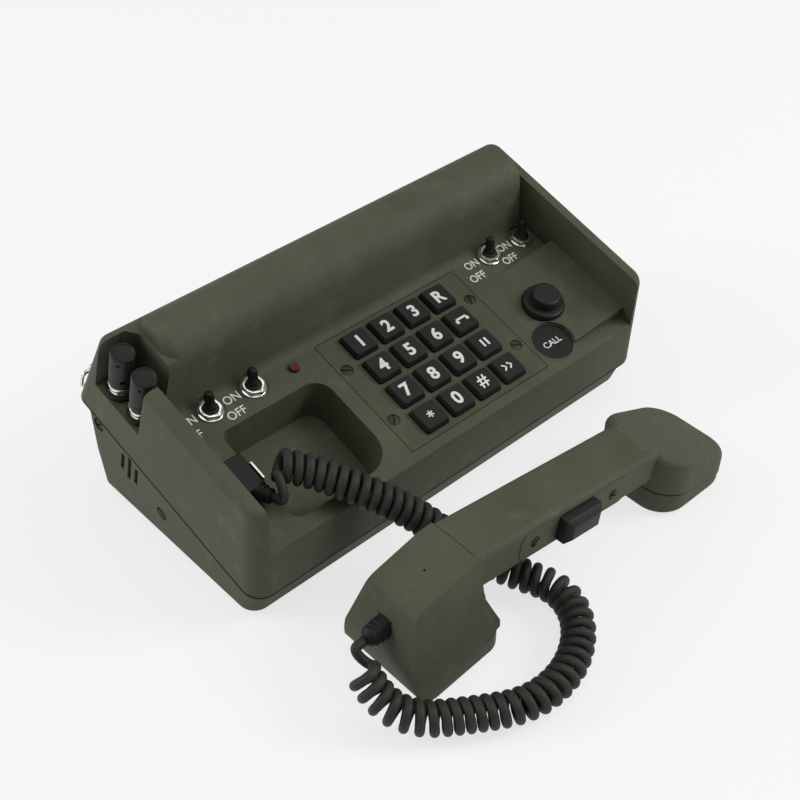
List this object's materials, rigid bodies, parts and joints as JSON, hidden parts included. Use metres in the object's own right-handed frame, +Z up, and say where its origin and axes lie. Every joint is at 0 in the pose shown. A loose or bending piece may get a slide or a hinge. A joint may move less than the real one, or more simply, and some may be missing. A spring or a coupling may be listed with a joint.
{
  "type": "field telephone",
  "caption": "Portable field telephone with sloping keypad deck, toggle switches, binding posts and a push-to-talk handset on a coiled cord.",
  "frame": {"origin": "on the table, below the middle of the box round case and handset, without the cord", "axes": "+X to the right along the case as the user sees it, +Y away from the user, +Z up"},
  "size_m": [0.2413, 0.2407, 0.0998],
  "materials": {
    "olive_plastic": "matt moulded",
    "olive_panel": "matt painted",
    "key_plastic": "satin",
    "black_plastic": "satin",
    "painted_screw": "satin paint",
    "dark_screw": "matt paint",
    "plated_metal": "bright plated",
    "lever_rubber": "matt",
    "lamp_lens": "clear lens",
    "call_rim": "satin",
    "black_rubber": "matt",
    "board": "lacquered"
  },
  "bodies": {
    "case": {"lower_case": "olive_plastic", "upper_case": "olive_plastic", "case_gasket": "black_rubber", "keypad_panel": "olive_panel", "keypad_panel_screws": "painted_screw", "keypad_mat": "black_rubber", "keypad_board": "board", "toggle_bodies": "black_plastic", "toggle_nuts": "plated_metal", "status_lamp": "lamp_lens", "hook_collar": "black_plastic", "hook_switch": "black_plastic", "call_bezel": "call_rim", "call_switch": "black_plastic", "post_washers": "plated_metal", "post_studs": "plated_metal", "case_screws": "dark_screw", "rubber_feet": "black_rubber", "strap_lugs": "plated_metal", "main_board": "board", "sounder": "black_plastic", "gland_block": "black_plastic", "gland_clip": "plated_metal", "base_boot": "black_rubber", "cord": "black_rubber"},
    "key_star": {"key_star": "key_plastic"},
    "key_0": {"key_0": "key_plastic"},
    "key_hash": {"key_hash": "key_plastic"},
    "key_redial": {"key_redial": "key_plastic"},
    "key_7": {"key_7": "key_plastic"},
    "key_8": {"key_8": "key_plastic"},
    "key_9": {"key_9": "key_plastic"},
    "key_pause": {"key_pause": "key_plastic"},
    "key_4": {"key_4": "key_plastic"},
    "key_5": {"key_5": "key_plastic"},
    "key_6": {"key_6": "key_plastic"},
    "key_release": {"key_release": "key_plastic"},
    "key_1": {"key_1": "key_plastic"},
    "key_2": {"key_2": "key_plastic"},
    "key_3": {"key_3": "key_plastic"},
    "key_recall": {"key_recall": "key_plastic"},
    "hook_button": {"hook_button": "black_plastic"},
    "call_button": {"call_button": "black_plastic"},
    "post_cap_1": {"post_cap_1": "black_plastic"},
    "post_cap_2": {"post_cap_2": "black_plastic"},
    "toggle_lever_1": {"toggle_lever_1": "lever_rubber"},
    "toggle_lever_2": {"toggle_lever_2": "lever_rubber"},
    "toggle_lever_3": {"toggle_lever_3": "lever_rubber"},
    "toggle_lever_4": {"toggle_lever_4": "lever_rubber"},
    "strap_ring_left": {"strap_ring_left": "plated_metal"},
    "strap_ring_right": {"strap_ring_right": "plated_metal"},
    "handset": {"handset_body": "olive_plastic", "mouth_block": "olive_plastic", "ear_cap": "olive_plastic", "mouth_cap": "olive_plastic", "ptt_plate": "olive_panel", "ptt_screws": "painted_screw", "handset_boot": "black_rubber"},
    "ptt_button": {"ptt_button": "black_plastic"}
  },
  "joints": [
    {"name": "key_star_press", "type": "slide", "parent": "case", "child": "key_star", "axis": [0, 0.2756, -0.9613], "range_m": [0, 0.0015], "stiffness_N_per_m": 300, "springref_m": -0.001},
    {"name": "key_0_press", "type": "slide", "parent": "case", "child": "key_0", "axis": [0, 0.2756, -0.9613], "range_m": [0, 0.0015], "stiffness_N_per_m": 300, "springref_m": -0.001},
    {"name": "key_hash_press", "type": "slide", "parent": "case", "child": "key_hash", "axis": [0, 0.2756, -0.9613], "range_m": [0, 0.0015], "stiffness_N_per_m": 300, "springref_m": -0.001},
    {"name": "key_redial_press", "type": "slide", "parent": "case", "child": "key_redial", "axis": [0, 0.2756, -0.9613], "range_m": [0, 0.0015], "stiffness_N_per_m": 300, "springref_m": -0.001},
    {"name": "key_7_press", "type": "slide", "parent": "case", "child": "key_7", "axis": [0, 0.2756, -0.9613], "range_m": [0, 0.0015], "stiffness_N_per_m": 300, "springref_m": -0.001},
    {"name": "key_8_press", "type": "slide", "parent": "case", "child": "key_8", "axis": [0, 0.2756, -0.9613], "range_m": [0, 0.0015], "stiffness_N_per_m": 300, "springref_m": -0.001},
    {"name": "key_9_press", "type": "slide", "parent": "case", "child": "key_9", "axis": [0, 0.2756, -0.9613], "range_m": [0, 0.0015], "stiffness_N_per_m": 300, "springref_m": -0.001},
    {"name": "key_pause_press", "type": "slide", "parent": "case", "child": "key_pause", "axis": [0, 0.2756, -0.9613], "range_m": [0, 0.0015], "stiffness_N_per_m": 300, "springref_m": -0.001},
    {"name": "key_4_press", "type": "slide", "parent": "case", "child": "key_4", "axis": [0, 0.2756, -0.9613], "range_m": [0, 0.0015], "stiffness_N_per_m": 300, "springref_m": -0.001},
    {"name": "key_5_press", "type": "slide", "parent": "case", "child": "key_5", "axis": [0, 0.2756, -0.9613], "range_m": [0, 0.0015], "stiffness_N_per_m": 300, "springref_m": -0.001},
    {"name": "key_6_press", "type": "slide", "parent": "case", "child": "key_6", "axis": [0, 0.2756, -0.9613], "range_m": [0, 0.0015], "stiffness_N_per_m": 300, "springref_m": -0.001},
    {"name": "key_release_press", "type": "slide", "parent": "case", "child": "key_release", "axis": [0, 0.2756, -0.9613], "range_m": [0, 0.0015], "stiffness_N_per_m": 300, "springref_m": -0.001},
    {"name": "key_1_press", "type": "slide", "parent": "case", "child": "key_1", "axis": [0, 0.2756, -0.9613], "range_m": [0, 0.0015], "stiffness_N_per_m": 300, "springref_m": -0.001},
    {"name": "key_2_press", "type": "slide", "parent": "case", "child": "key_2", "axis": [0, 0.2756, -0.9613], "range_m": [0, 0.0015], "stiffness_N_per_m": 300, "springref_m": -0.001},
    {"name": "key_3_press", "type": "slide", "parent": "case", "child": "key_3", "axis": [0, 0.2756, -0.9613], "range_m": [0, 0.0015], "stiffness_N_per_m": 300, "springref_m": -0.001},
    {"name": "key_recall_press", "type": "slide", "parent": "case", "child": "key_recall", "axis": [0, 0.2756, -0.9613], "range_m": [0, 0.0015], "stiffness_N_per_m": 300, "springref_m": -0.001},
    {"name": "hook_press", "type": "slide", "parent": "case", "child": "hook_button", "axis": [0, 0.2756, -0.9613], "range_m": [0, 0.004], "stiffness_N_per_m": 300, "springref_m": -0.002},
    {"name": "call_press", "type": "slide", "parent": "case", "child": "call_button", "axis": [0, 0.2756, -0.9613], "range_m": [0, 0.0008], "stiffness_N_per_m": 500, "springref_m": -0.0008},
    {"name": "post_1_press", "type": "slide", "parent": "case", "child": "post_cap_1", "axis": [0, 0.2756, -0.9613], "range_m": [0, 0.0024], "stiffness_N_per_m": 1200, "springref_m": -0.001},
    {"name": "post_2_press", "type": "slide", "parent": "case", "child": "post_cap_2", "axis": [0, 0.2756, -0.9613], "range_m": [0, 0.0024], "stiffness_N_per_m": 1200, "springref_m": -0.001},
    {"name": "toggle_1_tip", "type": "hinge", "parent": "case", "child": "toggle_lever_1", "pos_m": [-0.0886, 0.03959, 0.06281], "axis": [1, 0, 0], "range_deg": [0, 38]},
    {"name": "toggle_2_tip", "type": "hinge", "parent": "case", "child": "toggle_lever_2", "pos_m": [-0.0654, 0.03959, 0.06281], "axis": [1, 0, 0], "range_deg": [0, 38]},
    {"name": "toggle_3_tip", "type": "hinge", "parent": "case", "child": "toggle_lever_3", "pos_m": [0.081, 0.03959, 0.06281], "axis": [1, 0, 0], "range_deg": [0, 38]},
    {"name": "toggle_4_tip", "type": "hinge", "parent": "case", "child": "toggle_lever_4", "pos_m": [0.1034, 0.03959, 0.06281], "axis": [1, 0, 0], "range_deg": [0, 38]},
    {"name": "strap_ring_left_swing", "type": "hinge", "parent": "case", "child": "strap_ring_left", "pos_m": [-0.109, 0.09621, 0.06238], "axis": [1, 0, 0], "range_deg": [0, 100]},
    {"name": "strap_ring_right_swing", "type": "hinge", "parent": "case", "child": "strap_ring_right", "pos_m": [0.109, 0.09621, 0.06238], "axis": [1, 0, 0], "range_deg": [0, 100]},
    {"name": "handset_lift", "type": "slide", "parent": "case", "child": "handset", "axis": [0, 0, 1], "range_m": [0, 0.12]},
    {"name": "ptt_press", "type": "slide", "parent": "handset", "child": "ptt_button", "axis": [0, 1, 0], "range_m": [0, 0.002], "stiffness_N_per_m": 400, "springref_m": -0.001}
  ]
}
